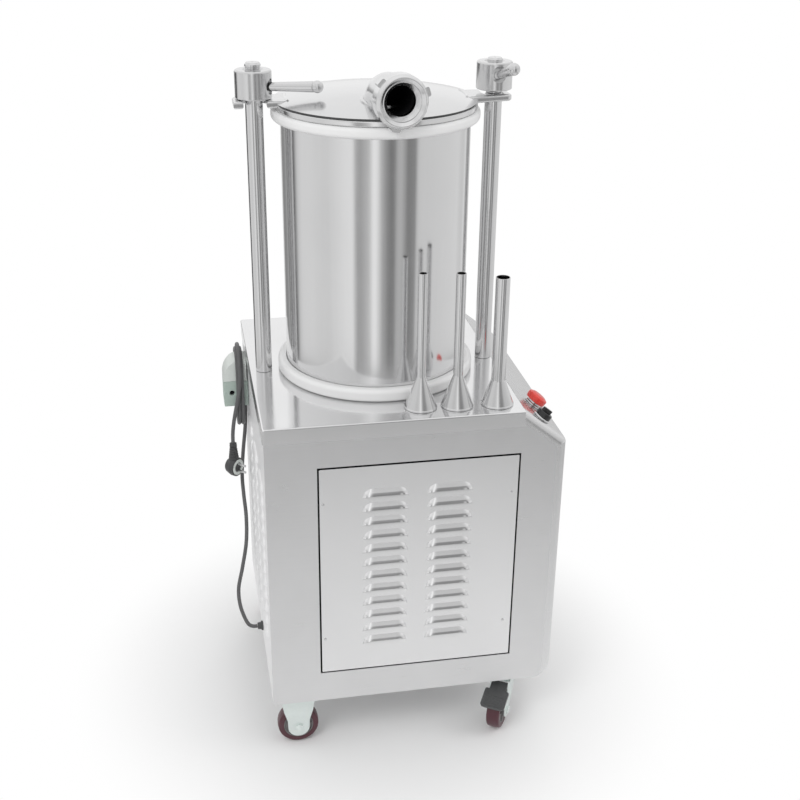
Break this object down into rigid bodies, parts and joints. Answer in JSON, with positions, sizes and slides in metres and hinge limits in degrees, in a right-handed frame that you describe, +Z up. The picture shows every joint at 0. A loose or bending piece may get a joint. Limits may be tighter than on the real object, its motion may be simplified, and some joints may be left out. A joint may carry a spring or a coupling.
{
  "type": "hydraulic sausage stuffer",
  "caption": "Upright steel cabinet on casters with a round filling barrel, a bayonet lid with an outlet elbow, clamp nuts on posts, and loose filling nozzles on its top.",
  "frame": {"origin": "on the floor, in the middle of the footprint, mains cord left out", "axes": "+Z up, -Y towards the side with the louvred service door, +X towards the sloping control panel"},
  "size_m": [0.5505, 0.5252, 1.1656],
  "materials": {
    "panel_steel": "brushed",
    "polished_steel": "polished",
    "white_seal": "satin",
    "zinc_plate": "zinc plated",
    "pale_green_box": "matte",
    "maroon_tread": "satin",
    "dark_plastic": "satin",
    "cord_sheath": "matte",
    "red_head": "gloss",
    "black_plastic": "satin",
    "painted_iron": "painted",
    "hose_rubber": "matte"
  },
  "bodies": {
    "machine": {"base_plate": "panel_steel", "near_side_panel": "panel_steel", "far_side_panel": "panel_steel", "cord_side_panel": "panel_steel", "control_side_panel": "panel_steel", "service_door": "panel_steel", "hydraulic_cylinder": "panel_steel", "valve_block": "panel_steel", "pump": "panel_steel", "tabletop": "polished_steel", "barrel": "polished_steel", "post_left": "polished_steel", "post_right": "polished_steel", "knob_collar": "polished_steel", "barrel_base_ring": "white_seal", "lid_gasket": "white_seal", "fixed_bracket_near": "zinc_plate", "fixed_bracket_far": "zinc_plate", "swivel_plate_near": "zinc_plate", "swivel_plate_far": "zinc_plate", "junction_box": "pale_green_box", "junction_box_cover": "pale_green_box", "cord_gland": "dark_plastic", "mains_plug": "dark_plastic", "power_cord": "cord_sheath", "cord_hank": "cord_sheath", "estop_collar": "black_plastic", "load_plate": "painted_iron", "frame_leg_near_left": "painted_iron", "frame_leg_near_right": "painted_iron", "frame_leg_far_left": "painted_iron", "frame_leg_far_right": "painted_iron", "oil_tank": "painted_iron", "motor": "painted_iron", "pressure_hose": "hose_rubber"},
    "lid_body": {"lid": "polished_steel", "lid_lug_left": "polished_steel", "lid_lug_right": "polished_steel", "outlet_elbow": "polished_steel"},
    "ring_nut_body": {"outlet_ring_nut": "polished_steel"},
    "left_clamp": {"clamp_nut_left": "polished_steel", "nut_handle_left": "polished_steel"},
    "right_clamp": {"clamp_nut_right": "polished_steel", "nut_handle_right": "polished_steel"},
    "piston_body": {"food_piston": "polished_steel", "piston_seal": "white_seal", "piston_rod": "polished_steel"},
    "estop_body": {"estop_button": "red_head"},
    "knob_body": {"selector_knob": "black_plastic"},
    "small_nozzle_body": {"nozzle_small": "polished_steel"},
    "medium_nozzle_body": {"nozzle_medium": "polished_steel"},
    "large_nozzle_body": {"nozzle_large": "polished_steel"},
    "fixed_near_wheel_body": {"fixed_wheel_near": "maroon_tread"},
    "fixed_far_wheel_body": {"fixed_wheel_far": "maroon_tread"},
    "near_swivel": {"swivel_fork_near": "zinc_plate"},
    "far_swivel": {"swivel_fork_far": "zinc_plate"},
    "near_swivel_wheel_body": {"swivel_wheel_near": "maroon_tread"},
    "far_swivel_wheel_body": {"swivel_wheel_far": "maroon_tread"},
    "near_pedal": {"brake_pedal_near": "dark_plastic"},
    "far_pedal": {"brake_pedal_far": "dark_plastic"}
  },
  "joints": [
    {"name": "lid_turn", "type": "hinge", "parent": "machine", "child": "lid_body", "pos_m": [-0.0106, 0.01082, 1.086], "axis": [0, 0, 1], "range_deg": [-30, 0]},
    {"name": "ring_nut_turn", "type": "hinge", "parent": "lid_body", "child": "ring_nut_body", "pos_m": [-0.00388, -0.16366, 1.124], "axis": [0.108, -0.9942, 0], "range_deg": [0, 540]},
    {"name": "left_nut_turn", "type": "hinge", "parent": "machine", "child": "left_clamp", "pos_m": [-0.2041, 0.01082, 1.119], "axis": [0, 0, 1], "range_deg": [0, 540]},
    {"name": "right_nut_turn", "type": "hinge", "parent": "machine", "child": "right_clamp", "pos_m": [0.1829, 0.01082, 1.1265], "axis": [0, 0, 1], "range_deg": [-630, 270]},
    {"name": "piston_slide", "type": "slide", "parent": "machine", "child": "piston_body", "axis": [0, 0, 1], "range_m": [0, 0.4]},
    {"name": "estop_press", "type": "slide", "parent": "machine", "child": "estop_body", "axis": [-0.6239, 0, -0.7815], "range_m": [0, 0.004]},
    {"name": "knob_turn", "type": "hinge", "parent": "machine", "child": "knob_body", "pos_m": [0.2324, -0.19418, 0.6075], "axis": [0.6239, 0, 0.7815], "range_deg": [-45, 45]},
    {"name": "small_nozzle_lift", "type": "slide", "parent": "machine", "child": "small_nozzle_body", "axis": [0, 0, 1], "range_m": [0, 0.2]},
    {"name": "medium_nozzle_lift", "type": "slide", "parent": "machine", "child": "medium_nozzle_body", "axis": [0, 0, 1], "range_m": [0, 0.2]},
    {"name": "large_nozzle_lift", "type": "slide", "parent": "machine", "child": "large_nozzle_body", "axis": [0, 0, 1], "range_m": [0, 0.2]},
    {"name": "fixed_wheel_near_spin", "type": "hinge", "parent": "machine", "child": "fixed_near_wheel_body", "pos_m": [-0.1816, -0.18918, 0.0365], "axis": [0, 1, 0], "continuous": true},
    {"name": "fixed_wheel_far_spin", "type": "hinge", "parent": "machine", "child": "fixed_far_wheel_body", "pos_m": [-0.1816, 0.21882, 0.0365], "axis": [0, 1, 0], "continuous": true},
    {"name": "swivel_near_turn", "type": "hinge", "parent": "machine", "child": "near_swivel", "pos_m": [0.1974, -0.18618, 0.09], "axis": [0, 0, 1], "continuous": true},
    {"name": "swivel_wheel_near_spin", "type": "hinge", "parent": "near_swivel", "child": "near_swivel_wheel_body", "pos_m": [0.18044, -0.21332, 0.0365], "axis": [0.848, -0.5299, 0], "continuous": true},
    {"name": "pedal_near_press", "type": "hinge", "parent": "near_swivel", "child": "near_pedal", "pos_m": [0.18574, -0.20484, 0.0845], "axis": [0.848, -0.5299, 0], "range_deg": [0, 4]},
    {"name": "swivel_far_turn", "type": "hinge", "parent": "machine", "child": "far_swivel", "pos_m": [0.1974, 0.21582, 0.09], "axis": [0, 0, 1], "continuous": true},
    {"name": "swivel_wheel_far_spin", "type": "hinge", "parent": "far_swivel", "child": "far_swivel_wheel_body", "pos_m": [0.16733, 0.22676, 0.0365], "axis": [-0.342, -0.9397, 0], "continuous": true},
    {"name": "pedal_far_press", "type": "hinge", "parent": "far_swivel", "child": "far_pedal", "pos_m": [0.17673, 0.22334, 0.0845], "axis": [-0.342, -0.9397, 0], "range_deg": [0, 4]}
  ]
}
